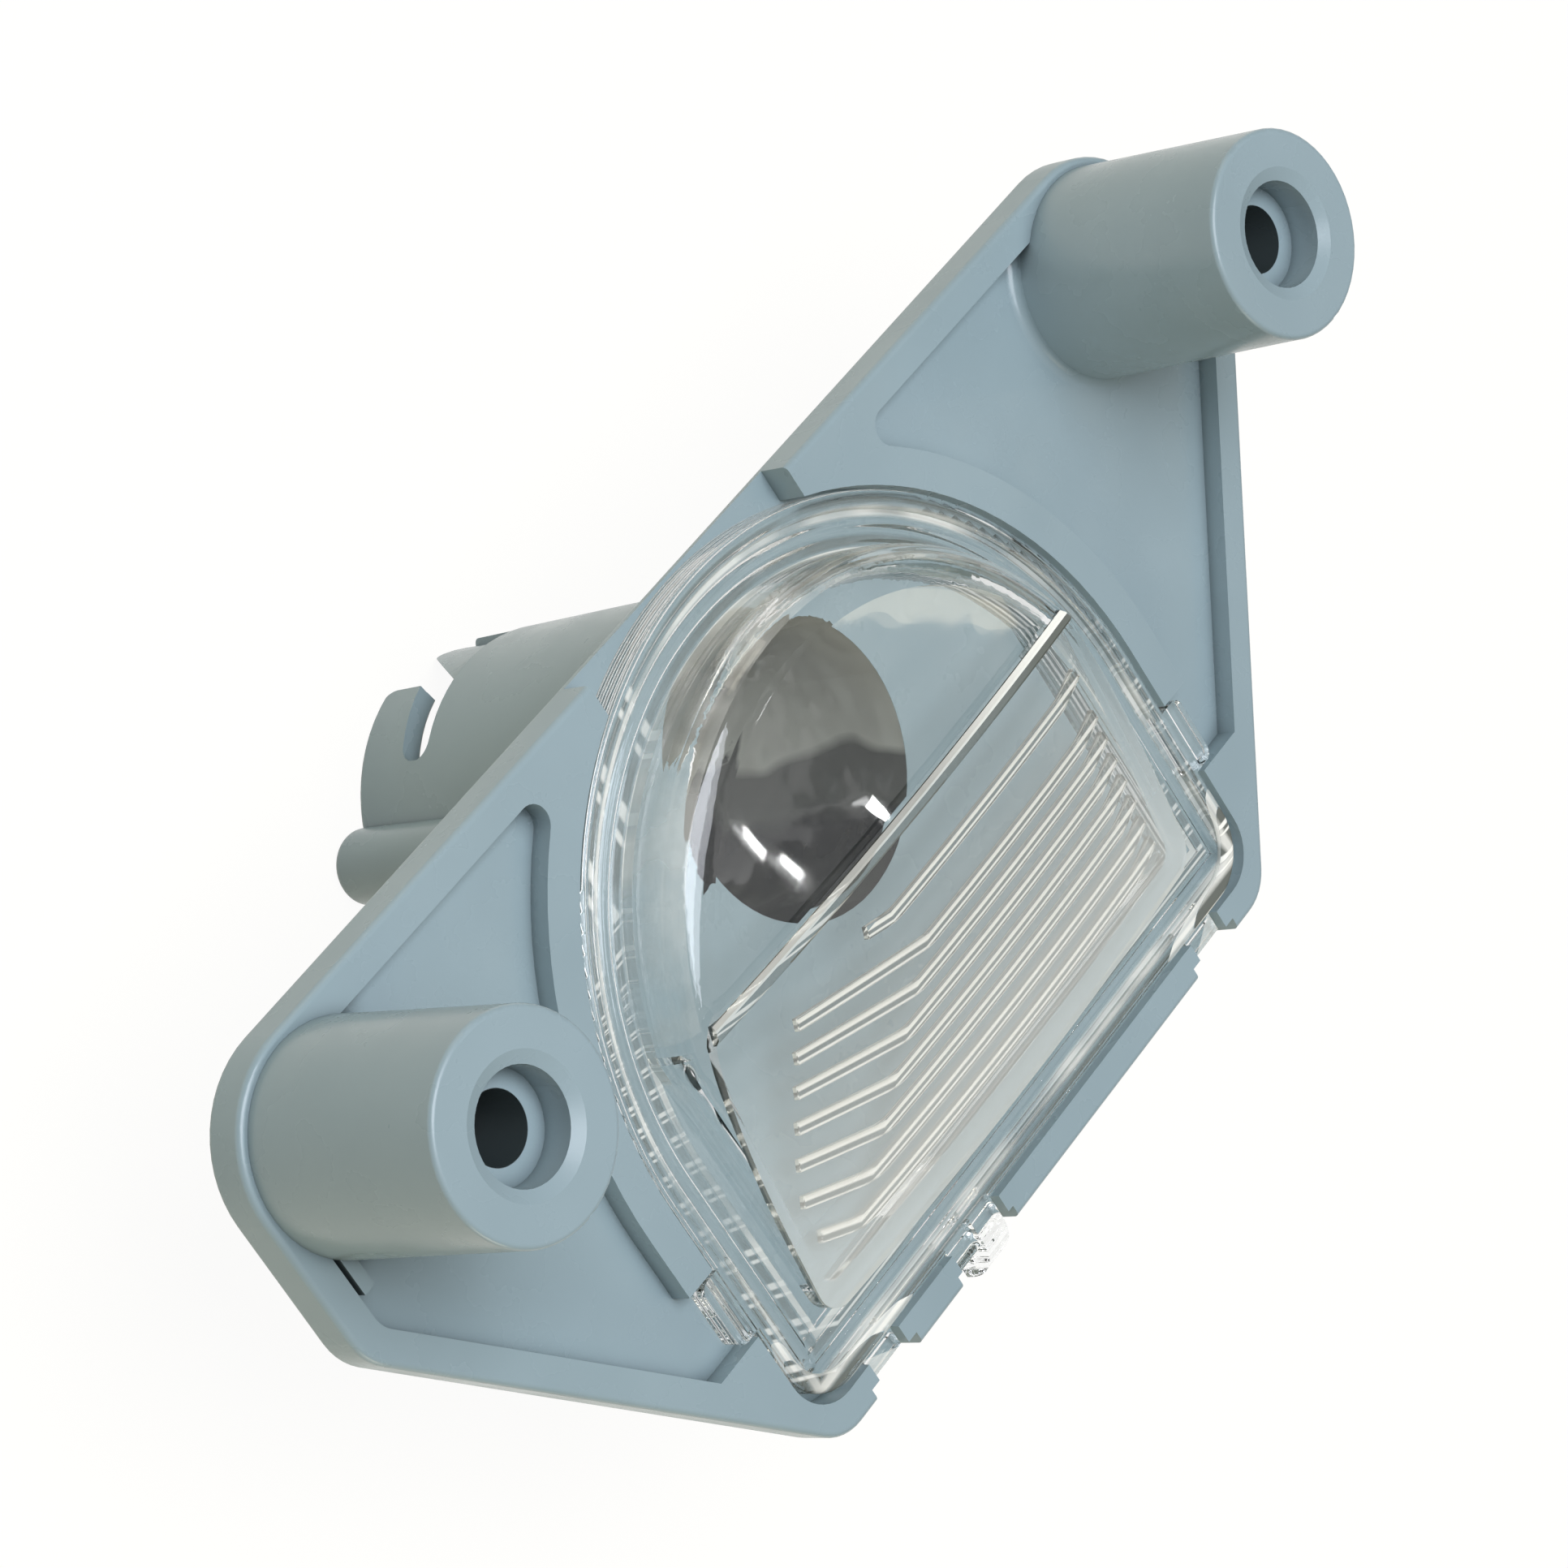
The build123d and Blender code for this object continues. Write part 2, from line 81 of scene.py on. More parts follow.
# The painted bore is this much wider than the real one, and ends this far under the seat
BORE_SPARE = 1.004
BORE_STOP = 0.00003

# Skin of the housing
PLASTIC_IOR = 1.5
ROUGHNESS_SPREAD = 0.12
SMEARS_PER_CLOUD = 3
WAVE_SHARE = 0.6
WAVE_HEIGHT = 0.00006
GRAIN_HEIGHT = 0.000004
DENT_SIZE = 0.0035

# Painted shade in corners: openness of a corner at which the painted shade is darkest, and at which it is no
# longer painted
CREVICE_DARK = 0.25
CREVICE_LIGHT = 0.72
CREVICE_SAMPLES = 6

# Painted shade on the wall inside the collar: levels along a direction in the plate, with a wandering edge
SHADE_ALONG_X = 0.63
SHADE_ALONG_Y = 0.78
SHADE_WANDER = 0.006
SHADE_WANDER_SIZE = 0.009
SHADE_LEVEL = -0.0015
SHADE_FADE = 0.0004
DEEP_SHADE_LEVEL = -0.0052
DEEP_SHADE_FADE = 0.0005

# Places on the lens, in metres, as in the model. Depths are measured under its crown and its slanted face.
CROWN_RADIUS = 0.22948
CROWN_TOP_Z = 0.00755
RIDGE_Y = -0.0109
FACE_SLOPE = 0.1683
ARCH_Y = -0.0189
LENS_RADIUS = 0.0260
LENS_BOTTOM_Y = -0.0355
LENS_ROUGHNESS = 0.035

# Box that holds the flutes
FLUTES_X = (-0.0192, 0.0196)
FLUTES_Y = (-0.0316, -0.0152)
FLUTES_DEPTH = (0.00150, 0.00200)

# Bead along the ridge: its depth, half the width of its painted highlight, and where that highlight grows to
# full strength. Below the highlight the bead gets a painted dark line.
RIDGE_DEPTH = (-0.00060, -0.00005)
RIDGE_PALE_HALF = 0.00042
RIDGE_PALE_X = (0.002, 0.017)

# Long flutes, counted from the first, in millimetres: place, pitch, and how their bends step
FIRST_FLUTE_Y = -19.1
FLUTE_PITCH = 1.65
BEND_X = -1.8
BEND_STEP = 2.3
BEND_SLOPE = 0.285
BEND_SLOPE_STEP = 0.040

# Top flute, in millimetres: its place, where it bends, how steeply, and how far down and left its own part goes
TOP_FLUTE_Y = -15.9
TOP_BEND_X = -3.4
TOP_BEND_SLOPE = 0.287
TOP_FLUTE_REACH = -17.3
TOP_FLUTE_LEFT = -6.3

# Painted highlight lines of each flute, as shares of the pitch: middle, half the width, and width of the fade
FLUTE_LINES = ((-0.10, 0.06, 0.05), (0.17, 0.025, 0.045))

# Painted pale veil, standing in for a reflection, on the slanted face: its depth, the places where it is full
# and where it is least, and its least share
VEIL_DEPTH = (-0.00004, 0.00020)
VEIL_Y = (-0.0330, -0.0130)
VEIL_LEAST = 0.10

# Fine rings round the edge of the lens: pitch, and distances from the edge between which they fade out
RING_PITCH = 0.0009
RING_BAND = (0.0036, 0.0046)

# Painted dark lines and painted highlight lines of the flange, standing in for its reflections, by distance
# from its edge: middle, half the width, and width of the fade
PAINTED_DARK_LINES = ((0.00066, 0.00010, 0.00014), (0.00300, 0.00018, 0.00024))
PAINTED_HIGHLIGHT_LINES = ((0.00130, 0.00020, 0.00030), (0.00364, 0.00018, 0.00012))
LINES_Z = (0.0021, 0.0031)
LINE_LEAST = 0.35

# Painted reflection smears where the dome rises from the flange: distances from the edge, and the noise that
# they begin and end at
WALL_BAND = (0.0034, 0.0046)
WALL_SHEEN_NOISE = (0.30, 0.62)


# Sizes and colours that a user may change


class HousingLook(bpy.types.PropertyGroup):
    """Finish of the moulded housing"""

    colour: FloatVectorProperty(
        name="Colour", description="Main colour of the moulded plastic", subtype="COLOR", size=3, min=0.0,
        max=1.0, default=(0.312, 0.402, 0.436),
    )
    shade: FloatVectorProperty(
        name="Shade", description="Slightly darker colour of the flow clouds", subtype="COLOR", size=3, min=0.0,
        max=1.0, default=(0.286, 0.372, 0.404),
    )
    roughness: FloatProperty(
        name="Roughness", description="How matt the skin is, at its glossiest", subtype="FACTOR", min=0.0,
        max=1.0, default=0.22,
    )
    cloud_size: FloatProperty(
        name="Cloud size", description="Width of the flow clouds", unit="LENGTH", min=0.001, max=0.1,
        default=0.014,
    )
    # Painted light: pale colour standing in for the lit part of the wall inside the collar
    bore_lit_colour: FloatVectorProperty(
        name="Inside colour", description="Colour of the dulled wall inside the bulb collar", subtype="COLOR",
        size=3, min=0.0, max=1.0, default=(0.640, 0.660, 0.600),
    )
    # Painted shade on the wall inside the collar
    bore_shade_colour: FloatVectorProperty(
        name="Bore shade colour", description="Colour of the darker part of the wall inside the collar",
        subtype="COLOR", size=3, min=0.0, max=1.0, default=(0.100, 0.110, 0.106),
    )
    # Painted shade down in the narrow screw holes
    hole_shade_colour: FloatVectorProperty(
        name="Hole colour", description="Colour down in the narrow screw holes", subtype="COLOR", size=3,
        min=0.0, max=1.0, default=(0.060, 0.078, 0.082),
    )
    inside_roughness: FloatProperty(
        name="Inside roughness", description="How matt the wall inside the bulb collar is", subtype="FACTOR",
        min=0.0, max=1.0, default=0.14,
    )
    # Deepest painted shade on the wall inside the collar
    bore_deep_shade_colour: FloatVectorProperty(
        name="Deep colour", description="Colour of the darkest part of the wall inside the collar",
        subtype="COLOR", size=3, min=0.0, max=1.0, default=(0.018, 0.022, 0.032),
    )
    # Painted shade in narrow corners
    crevice_shade_colour: FloatVectorProperty(
        name="Crevice colour", description="Colour of the plastic down in narrow corners", subtype="COLOR",
        size=3, min=0.0, max=1.0, default=(0.060, 0.080, 0.086),
    )
    crevice_reach: FloatProperty(
        name="Crevice reach", description="How near a wall must be to darken the plastic", unit="LENGTH",
        min=0.0, max=0.1, default=0.0018,
    )
    dent_height: FloatProperty(
        name="Dent height", description="Height of the dents in the wall inside the bulb collar",
        unit="LENGTH", min=0.0, max=0.01, default=0.0004,
    )
    grain_size: FloatProperty(
        name="Grain size", description="Width of the fine grain in the skin", unit="LENGTH", min=0.0001,
        max=0.01, default=0.00035,
    )


class LensLook(bpy.types.PropertyGroup):
    """Finish of the clear lens"""

    tint: FloatVectorProperty(
        name="Tint", description="Colour that the clear plastic passes on", subtype="COLOR", size=3,
        min=0.0, max=1.0, default=(0.975, 0.985, 0.980),
    )
    ior: FloatProperty(
        name="IOR", description="How strongly the clear plastic bends light", min=1.0, max=2.0, default=1.49,
    )
    # Painted highlight colour of the flutes, the ridge, the veil on the slanted face, the dome's wall and the
    # flange's pale lines
    painted_highlight_colour: FloatVectorProperty(
        name="Flute colour", description="Colour that the bright lines of each flute scatter",
        subtype="COLOR", size=3, min=0.0, max=1.0, default=(0.98, 0.96, 0.88),
    )
    # Painted dark colour beside each flute's highlights, under the ridge and on the flange's dark lines
    painted_dark_colour: FloatVectorProperty(
        name="Edge colour", description="Colour of each flute beside its bright lines", subtype="COLOR",
        size=3, min=0.0, max=1.0, default=(0.16, 0.17, 0.15),
    )
    # How strongly the painted highlights of the flutes show
    painted_flute_share: FloatProperty(
        name="Flute share", description="Share of light that the bright lines of each flute scatter",
        subtype="FACTOR", min=0.0, max=1.0, default=0.95,
    )
    # How strongly the painted dark lines of the flutes show
    flute_dark_line_share: FloatProperty(
        name="Edge share", description="Share of light that each flute scatters beside its bright lines",
        subtype="FACTOR", min=0.0, max=1.0, default=0.55,
    )
    # Painted highlight along the ridge's bead, brightest at its right end
    ridge_highlight_share: FloatProperty(
        name="Ridge share", description="Least share of light that the bead along the ridge scatters",
        subtype="FACTOR", min=0.0, max=1.0, default=0.45,
    )
    shade: FloatVectorProperty(
        name="Shade", description="Share of lamplight that each skin of the lens lets through",
        subtype="COLOR", size=3, min=0.0, max=1.0, default=(0.96, 0.96, 0.95),
    )
    flute_shade: FloatVectorProperty(
        name="Flute shade", description="Share of lamplight that the flutes and the ridge let through",
        subtype="COLOR", size=3, min=0.0, max=1.0, default=(0.42, 0.42, 0.40),
    )
    # Painted pale veil standing in for a reflection on the slanted face
    painted_veil_share: FloatProperty(
        name="Haze share", description="Share of light that the foot of the slanted face scatters",
        subtype="FACTOR", min=0.0, max=1.0, default=0.38,
    )
    # Painted reflection smears on the dome's wall
    wall_sheen_share: FloatProperty(
        name="Wall share", description="Largest share of light that the smears on the dome's wall scatter",
        subtype="FACTOR", min=0.0, max=1.0, default=0.30,
    )
    # Painted dark lines and painted highlights along the flange
    painted_line_share: FloatProperty(
        name="Line share", description="Share of light that the lines along the flange scatter or hold back",
        subtype="FACTOR", min=0.0, max=1.0, default=0.60,
    )
    ring_height: FloatProperty(
        name="Ring height", description="Height of the fine rings round the edge of the lens", unit="LENGTH",
        min=0.0, max=0.001, default=0.00006,
    )
    ripple_size: FloatProperty(
        name="Ripple size", description="Width of the faint ripples that moulding leaves in the skin",
        unit="LENGTH", min=0.001, max=0.1, default=0.006,
    )
    ripple_height: FloatProperty(
        name="Ripple height", description="Height of the ripples", unit="LENGTH", min=0.0, max=0.001,
        default=0.00002,
    )


class StageLook(bpy.types.PropertyGroup):
    """Floor, lights and surroundings"""

    floor_height: FloatProperty(
        name="Floor height", description="Height of the floor, under the end of the collar", unit="LENGTH",
        default=cad_low.z,
    )
    floor_radius: FloatProperty(
        name="Floor radius", description="Radius of the round floor", unit="LENGTH", min=0.5, default=3.0,
    )
    floor_sides: IntProperty(
        name="Floor sides", description="Number of sides of the round floor", min=12, max=512, default=96,
    )
    floor_colour: FloatVectorProperty(
        name="Floor colour", description="Colour of the plain floor", subtype="COLOR", size=3, min=0.0, max=1.0,
        default=(0.54, 0.50, 0.36),
    )
    floor_white: FloatProperty(
        name="Floor white", description="Strength of the white that the floor shows the camera", min=0.0,
        default=1.10,
    )
    floor_lift: FloatProperty(
        name="Floor lift", description="Share of plain white that is mixed in where the floor is looked at",
        subtype="FACTOR", min=0.0, max=1.0, default=0.85,
    )
    key_power: FloatProperty(
        name="Key power", description="Power of the large lamp overhead, in watts", min=0.0, default=6.2,
    )
    fill_power: FloatProperty(
        name="Fill power", description="Power of the warm lamp beyond the long straight edge, in watts",
        min=0.0, default=0.42,
    )
    low_power: FloatProperty(
        name="Low power", description="Power of the weak warm lamp near the floor, in watts", min=0.0,
        default=0.22,
    )
    band_power: FloatProperty(
        name="Band power", description="Power of the warm strip that the top of the dome mirrors, in watts",
        min=0.0, default=0.006,
    )
    glint_power: FloatProperty(
        name="Glint power", description="Power of each small lamp that the dome mirrors, in watts", min=0.0,
        default=0.0025,
    )
    backdrop_strength: FloatProperty(
        name="Backdrop strength", description="Strength of the white backdrop that is seen through the lens",
        min=0.0, default=0.95,
    )
    sky_strength: FloatProperty(
        name="Sky strength", description="Strength of the surroundings", min=0.0, default=0.33,
    )


# Helpers for nodes and pieces


def new_material(name):
    """Empty node material with its output node."""
    material = bpy.data.materials.new(name)
    material.use_nodes = True
    material.node_tree.nodes.clear()
    output = material.node_tree.nodes.new("ShaderNodeOutputMaterial")
    return material, material.node_tree, output


def add_node(tree, kind, values=None, **settings):
    """One node, with its settings and the values of its own sockets."""
    node = tree.nodes.new(kind)
    for name, value in settings.items():
        setattr(node, name, value)
    for name, value in (values or {}).items():
        node.inputs[name].default_value = value
    return node


def noise(tree, place, size, detail=2.0):
    """Noise whose features are about as wide as the size, in metres."""
    node = add_node(tree, "ShaderNodeTexNoise", {"Scale": 1.0 / size, "Detail": detail})
    tree.links.new(place.outputs["Object"], node.inputs["Vector"])
    return node.outputs["Fac"]


def axes_of(tree, place, kind="Object"):
    """The three coordinates of a place."""
    node = add_node(tree, "ShaderNodeSeparateXYZ")
    tree.links.new(place.outputs[kind], node.inputs["Vector"])
    return node.outputs["X"], node.outputs["Y"], node.outputs["Z"]


def spread(tree, source, low, high, from_low=0.35, from_high=0.65):
    """The source's middle values stretched between low and high."""
    node = add_node(
        tree, "ShaderNodeMapRange",
        {"From Min": from_low, "From Max": from_high, "To Min": low, "To Max": high},
    )
    tree.links.new(source, node.inputs["Value"])
    return node.outputs["Result"]


def sums(tree, operation, *terms):
    """A chain of the same sum over numbers and sockets."""
    result = terms[0]
    for term in terms[1:]:
        node = add_node(tree, "ShaderNodeMath", operation=operation)
        for socket, value in zip(node.inputs, (result, term)):
            if isinstance(value, (int, float)):
                socket.default_value = value
            else:
                tree.links.new(value, socket)
        result = node.outputs["Value"]
    return result


def single(tree, operation, value):
    """A sum that takes one value."""
    node = add_node(tree, "ShaderNodeMath", operation=operation)
    tree.links.new(value, node.inputs[0])
    return node.outputs["Value"]


def squares(tree, *terms):
    """The squares of some sockets, added up."""
    return sums(tree, "ADD", *(sums(tree, "MULTIPLY", term, term) for term in terms))


def between(tree, value, low, high):
    """One where the value lies between two limits, and nought elsewhere."""
    return sums(tree, "MULTIPLY", sums(tree, "GREATER_THAN", value, low), sums(tree, "LESS_THAN", value, high))


def stripes(tree, value, lines):
    """One on each line and nought between them. A line is its middle, half its width and its fade's width."""
    total = 0.0
    for middle, half, fade in lines:
        distance = single(tree, "ABSOLUTE", sums(tree, "SUBTRACT", value, middle))
        total = sums(tree, "ADD", total, spread(tree, distance, 1.0, 0.0, half, half + fade))
    return total


def blend_colours(tree, share, first, second):
    """The first colour, going over to the second where the share is one."""
    node = add_node(tree, "ShaderNodeMix", data_type="RGBA")
    tree.links.new(share, node.inputs["Factor"])
    for socket, colour in ((node.inputs["A"], first), (node.inputs["B"], second)):
        if isinstance(colour, bpy.types.NodeSocket):
            tree.links.new(colour, socket)
        else:
            socket.default_value = (*colour, 1.0)
    return node.outputs["Result"]


def blend_shaders(tree, share, first, second):
    """The first shader, going over to the second where the share is one."""
    node = add_node(tree, "ShaderNodeMixShader")
    for socket, source in zip(node.inputs, (share, first, second)):
        tree.links.new(source, socket)
    return node.outputs["Shader"]


def bump(tree, height, distance, under=None):
    """Bump of the given distance, on top of another one if there is one."""
    node = add_node(tree, "ShaderNodeBump", {"Distance": distance})
    tree.links.new(height, node.inputs["Height"])
    if under is not None:
        tree.links.new(under, node.inputs["Normal"])
    return node.outputs["Normal"]


def give(node_name, material):
    """Puts a material on a CAD node."""
    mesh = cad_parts[node_name].data
    mesh.materials.clear()
    mesh.materials.append(material)


# Housing


def bore_colour(tree, place, x, y, look):
    """Painted light and shade on the wall inside the collar: a pale lit colour that goes over to painted shade,
    and then to deeper painted shade, along a direction in the plate.
    """
    wander = sums(tree, "MULTIPLY", noise(tree, place, SHADE_WANDER_SIZE), SHADE_WANDER)
    drift = sums(tree, "ADD", sums(tree, "MULTIPLY", x, SHADE_ALONG_X), sums(tree, "MULTIPLY", y, SHADE_ALONG_Y),
                 wander)
    painted_shade = spread(tree, drift, 1.0, 0.0, SHADE_LEVEL - SHADE_FADE, SHADE_LEVEL + SHADE_FADE)
    wall = blend_colours(tree, painted_shade, look.bore_lit_colour, look.bore_shade_colour)
    deep_shade = spread(tree, drift, 1.0, 0.0, DEEP_SHADE_LEVEL - DEEP_SHADE_FADE, DEEP_SHADE_LEVEL + DEEP_SHADE_FADE)
    return blend_colours(tree, deep_shade, wall, look.bore_deep_shade_colour)


def skin_bump(tree, place, inside, look):
    """Fine grain, shallow sink waves, and dents inside the collar."""
    grain = bump(tree, noise(tree, place, look.grain_size), GRAIN_HEIGHT)
    waves = noise(tree, place, look.cloud_size * WAVE_SHARE, detail=1.0)
    waved = bump(tree, waves, WAVE_HEIGHT, under=grain)
    dents = sums(tree, "MULTIPLY", noise(tree, place, DENT_SIZE, detail=1.0), inside)
    return bump(tree, dents, look.dent_height, under=waved)


def moulded_plastic(look):
    """Semi-gloss moulded plastic with faint flow clouds and a fine skin, painted shade in narrow corners and
    down the screw holes, and painted light and shade on the wall inside the collar.
    """
    material, tree, output = new_material("grey_moulded_plastic")
    place = add_node(tree, "ShaderNodeTexCoord")
    x, y, z = axes_of(tree, place)
    shader = add_node(tree, "ShaderNodeBsdfPrincipled", {"IOR": PLASTIC_IOR})

    clouds = spread(tree, noise(tree, place, look.cloud_size, detail=3.0), 0.0, 1.0)
    colour = blend_colours(tree, clouds, look.shade, look.colour)
    # Painted shade in narrow corners, by how open they are
    openness = add_node(tree, "ShaderNodeAmbientOcclusion", {"Distance": look.crevice_reach},
                        samples=CREVICE_SAMPLES, only_local=True)
    crevice = spread(tree, openness.outputs["AO"], 1.0, 0.0, CREVICE_DARK, CREVICE_LIGHT)
    colour = blend_colours(tree, crevice, colour, look.crevice_shade_colour)

    # Painted light and shade on the wall inside the collar
    from_bore = squares(tree, x, sums(tree, "SUBTRACT", y, BORE_Y))
    inside = sums(tree, "MULTIPLY", sums(tree, "LESS_THAN", from_bore, (BORE_RADIUS * BORE_SPARE) ** 2),
                  sums(tree, "LESS_THAN", z, SEAT_Z - BORE_STOP))
    colour = blend_colours(tree, inside, colour, bore_colour(tree, place, x, y, look))

    # Painted shade down in the screw holes
    from_screw = squares(tree, sums(tree, "SUBTRACT", single(tree, "ABSOLUTE", x), SCREW_X), y)
    hole = sums(tree, "LESS_THAN", from_screw, SCREW_HOLE_RADIUS**2)
    colour = blend_colours(tree, hole, colour, look.hole_shade_colour)
    tree.links.new(colour, shader.inputs["Base Color"])

    smears = noise(tree, place, look.cloud_size / SMEARS_PER_CLOUD, detail=4.0)
    polish = add_node(tree, "ShaderNodeMix", {"B": look.inside_roughness}, data_type="FLOAT")
    tree.links.new(spread(tree, smears, look.roughness, look.roughness + ROUGHNESS_SPREAD), polish.inputs["A"])
    tree.links.new(inside, polish.inputs["Factor"])
    tree.links.new(polish.outputs["Result"], shader.inputs["Roughness"])

    tree.links.new(skin_bump(tree, place, inside, look), shader.inputs["Normal"])
    tree.links.new(shader.outputs["BSDF"], output.inputs["Surface"])
    return material


# Lens


def from_edge(tree, x, y):
    """Distance of a point inwards from the arched edge of the lens."""
    above = sums(tree, "MAXIMUM", sums(tree, "SUBTRACT", y, ARCH_Y), 0.0)
    reach = sums(tree, "POWER", squares(tree, x, above), 0.5)
    return sums(tree, "MINIMUM", sums(tree, "SUBTRACT", LENS_RADIUS, reach),
                sums(tree, "SUBTRACT", y, LENS_BOTTOM_Y))


def under_top(tree, x, y, z):
    """Depth of a point under the crown and its slanted face."""
    up = sums(tree, "SUBTRACT", z, CROWN_TOP_Z - CROWN_RADIUS)
    fall = sums(tree, "MULTIPLY", sums(tree, "SUBTRACT", RIDGE_Y, y), FACE_SLOPE)
    return sums(tree, "SUBTRACT", CROWN_RADIUS, sums(tree, "POWER", squares(tree, x, up), 0.5), fall)


def edge_rings(tree, inwards):
    """Height of fine rings that follow the edge of the lens, fading out inside its flange."""
    wave = single(tree, "SINE", sums(tree, "MULTIPLY", inwards, 2 * pi / RING_PITCH))
    return sums(tree, "MULTIPLY", wave, spread(tree, inwards, 1.0, 0.0, *RING_BAND))


def flute_lines(tree, x, y):
    """One on the painted highlight lines of each flute, and nought between them. The straight right part of a
    long flute and its bent left part each give a count of flutes, and the larger of the two holds."""
    x = sums(tree, "MULTIPLY", x, MM_PER_METRE)
    y = sums(tree, "MULTIPLY", y, MM_PER_METRE)
    left = sums(tree, "SUBTRACT", BEND_X, x)
    down = sums(tree, "SUBTRACT", FIRST_FLUTE_Y, y)
    straight = sums(tree, "DIVIDE", down, FLUTE_PITCH)
    curve = BEND_STEP * BEND_SLOPE_STEP
    half = sums(tree, "SUBTRACT", FLUTE_PITCH + BEND_STEP * BEND_SLOPE,
                sums(tree, "MULTIPLY", left, BEND_SLOPE_STEP))
    rest = sums(tree, "ADD", sums(tree, "MULTIPLY", left, BEND_SLOPE), down)
    within = sums(tree, "ADD", squares(tree, half), sums(tree, "MULTIPLY", rest, 4 * curve))
    root = sums(tree, "POWER", sums(tree, "MAXIMUM", within, 0.0), 0.5)
    bent = sums(tree, "DIVIDE", sums(tree, "SUBTRACT", root, half), 2 * curve)
    count = sums(tree, "MAXIMUM", straight, bent)
    off = sums(tree, "SUBTRACT", count, single(tree, "ROUND", count))

    top_left = sums(tree, "MAXIMUM", sums(tree, "SUBTRACT", TOP_BEND_X, x), 0.0)
    top_line = sums(tree, "ADD", TOP_FLUTE_Y, sums(tree, "MULTIPLY", top_left, TOP_BEND_SLOPE))
    off_top = sums(tree, "DIVIDE", sums(tree, "SUBTRACT", top_line, y), FLUTE_PITCH)
    on_top = sums(tree, "MULTIPLY", sums(tree, "GREATER_THAN", y, TOP_FLUTE_REACH),
                  sums(tree, "GREATER_THAN", x, TOP_FLUTE_LEFT))
    off = sums(tree, "ADD", off, sums(tree, "MULTIPLY", on_top, sums(tree, "SUBTRACT", off_top, off)))
    return stripes(tree, off, FLUTE_LINES)


